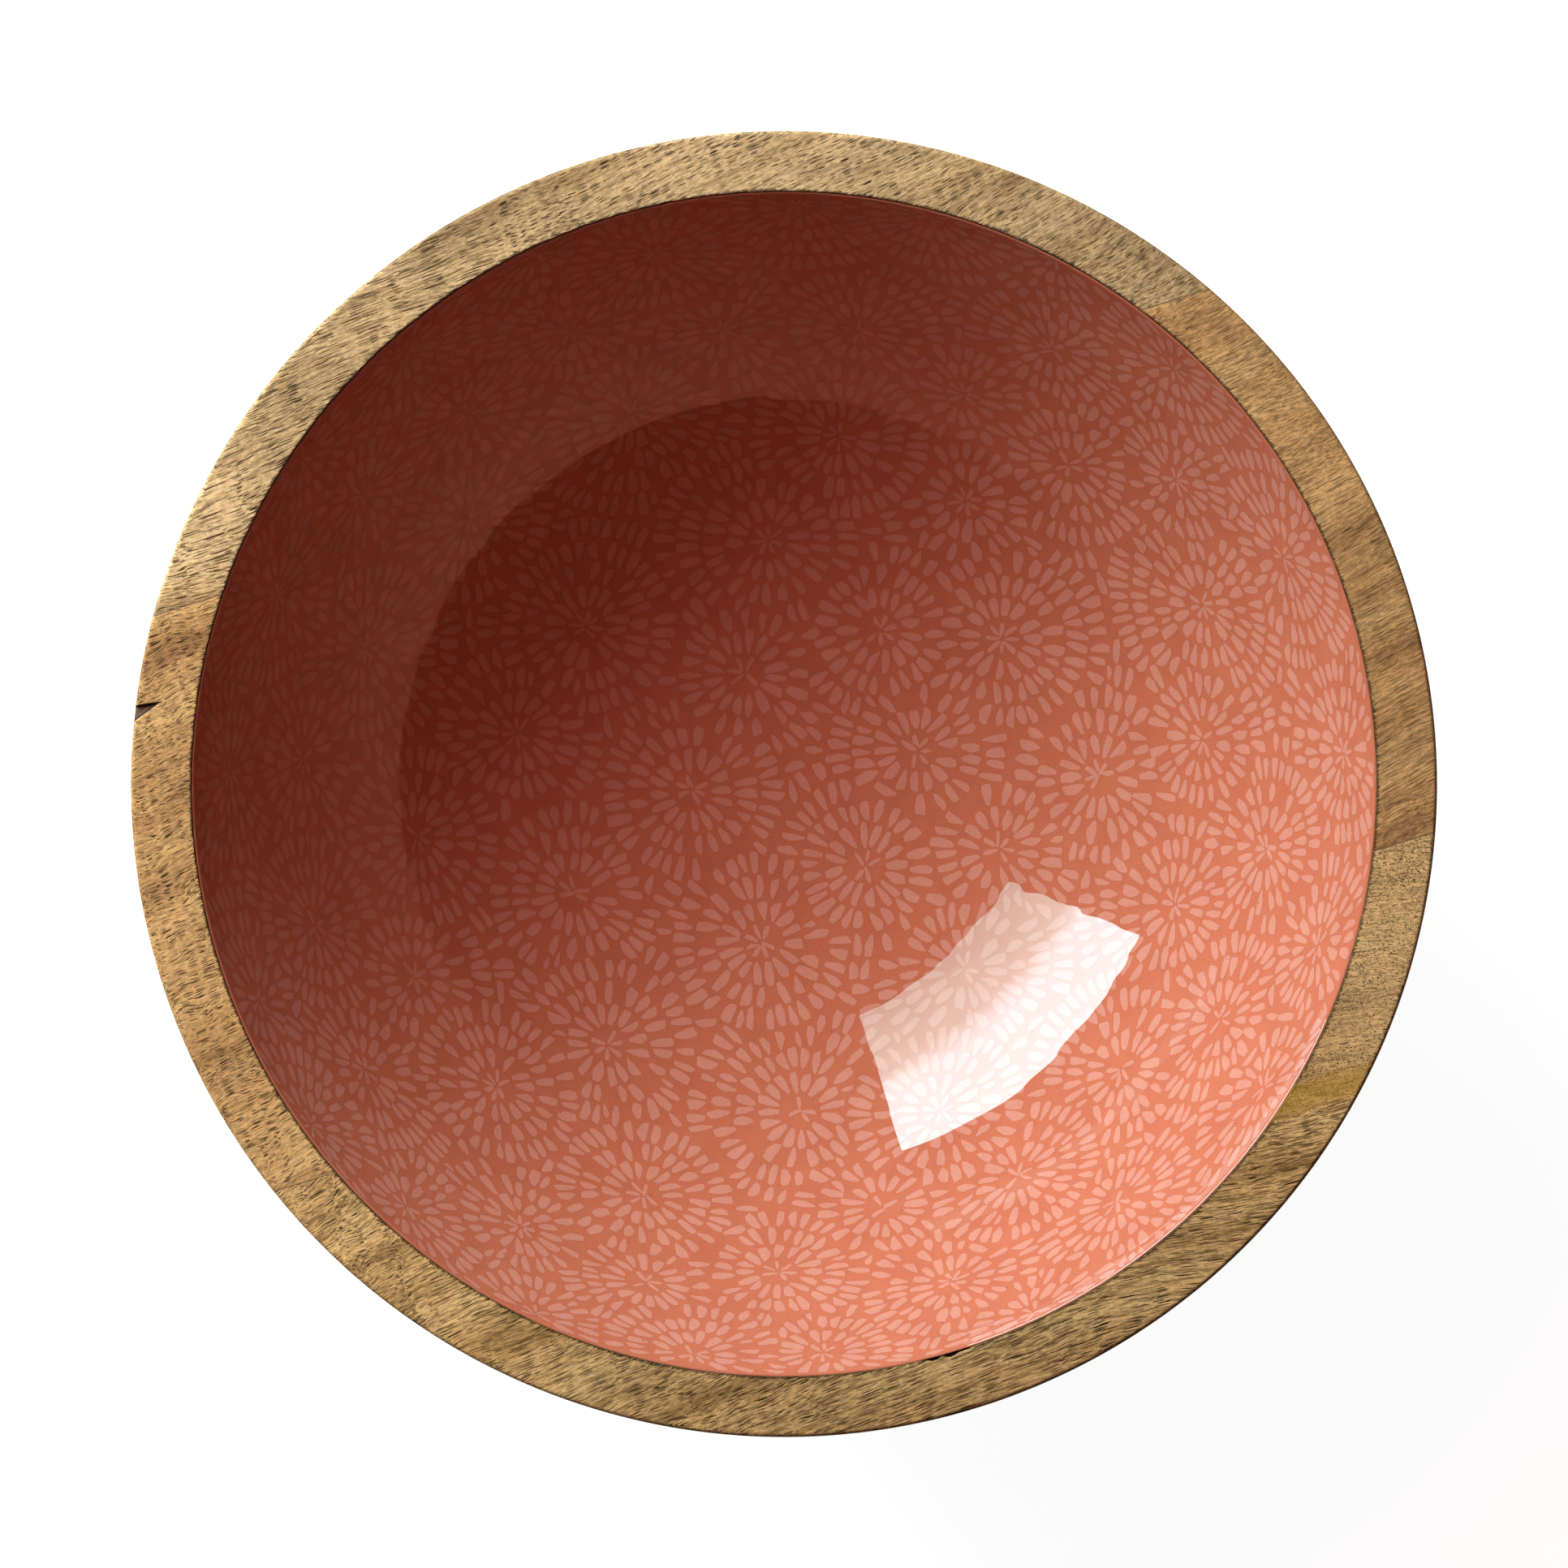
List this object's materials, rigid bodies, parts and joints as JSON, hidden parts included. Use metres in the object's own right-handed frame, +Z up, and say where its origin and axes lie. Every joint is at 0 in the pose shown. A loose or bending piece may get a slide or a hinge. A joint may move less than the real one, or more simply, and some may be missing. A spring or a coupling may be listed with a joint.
{
  "type": "serving bowl",
  "caption": "Turned wooden serving bowl with a flat bare rim and a glossy coral enamel inside, printed all over with pale petal bursts.",
  "frame": {"origin": "centre of the foot, on the surface that the bowl stands on", "axes": "+Z up along the turning axis; +X to the right and +Y to the top in the picture, which looks straight down"},
  "size_m": [0.25, 0.25, 0.09],
  "materials": {
    "rear_wood": "fine sanded hardwood under a thin satin lacquer, greyish tan",
    "middle_wood": "fine sanded hardwood under a thin satin lacquer, orange brown",
    "front_wood": "fine sanded hardwood under a thin satin lacquer, olive brown",
    "wood_glue": "cured wood glue, dark brown",
    "coral_enamel": "opaque coral enamel",
    "petal_ink": "pale pink petals printed on a coral film",
    "clear_enamel": "clear high gloss enamel"
  },
  "bodies": {
    "root": {"rear_board": "rear_wood", "middle_board": "middle_wood", "front_board": "front_wood", "rear_glue_line": "wood_glue", "front_glue_line": "wood_glue", "ground_coat": "coral_enamel", "petal_print": "petal_ink", "clear_coat": "clear_enamel"}
  },
  "joints": []
}
